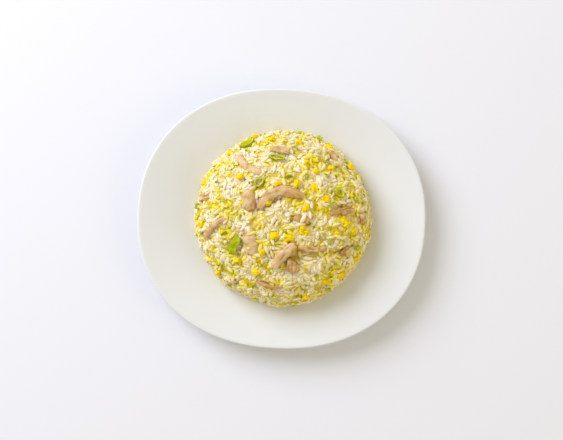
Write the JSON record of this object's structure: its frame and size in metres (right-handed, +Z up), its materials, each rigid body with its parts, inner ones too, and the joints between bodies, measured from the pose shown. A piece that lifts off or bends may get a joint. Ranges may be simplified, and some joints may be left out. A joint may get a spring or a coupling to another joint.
{
  "type": "fried rice plate",
  "caption": "Rounded heap of fried rice with pork strips, scrambled egg and spring onion on a slightly square coupe plate.",
  "frame": {"origin": "under the middle of the plate, on the surface that its foot stands on", "axes": "+X along the plate's longer side, +Y along its shorter side, +Z up"},
  "size_m": [0.246, 0.222, 0.0636],
  "materials": {
    "glaze": "glossy off-white glaze",
    "rice": "moist cooked rice, white to egg-yellow, lightly oiled",
    "pork": "cooked pork, pinkish tan, moist",
    "egg": "scrambled egg, bright yellow, moist",
    "spring_onion": "spring onion, from pale to dark green, glossy"
  },
  "bodies": {
    "root": {"plate": "glaze", "rice_heap": "rice", "pork_strip_01": "pork", "pork_strip_02": "pork", "pork_strip_03": "pork", "pork_strip_04": "pork", "pork_strip_05": "pork", "pork_strip_06": "pork", "pork_strip_07": "pork", "pork_strip_08": "pork", "pork_strip_09": "pork", "pork_strip_10": "pork", "pork_strip_11": "pork", "pork_strip_12": "pork", "pork_strip_13": "pork", "pork_strip_14": "pork", "pork_strip_15": "pork", "pork_strip_16": "pork", "pork_strip_17": "pork", "egg_curd_01": "egg", "egg_curd_02": "egg", "egg_curd_03": "egg", "egg_curd_04": "egg", "egg_curd_05": "egg", "egg_curd_06": "egg", "egg_curd_07": "egg", "egg_curd_08": "egg", "egg_curd_09": "egg", "egg_curd_10": "egg", "egg_curd_11": "egg", "egg_curd_12": "egg", "egg_curd_13": "egg", "egg_curd_14": "egg", "egg_curd_15": "egg", "onion_ring_01": "spring_onion", "onion_ring_02": "spring_onion", "onion_ring_03": "spring_onion", "onion_ring_04": "spring_onion", "onion_leaf_01": "spring_onion"}
  },
  "joints": []
}
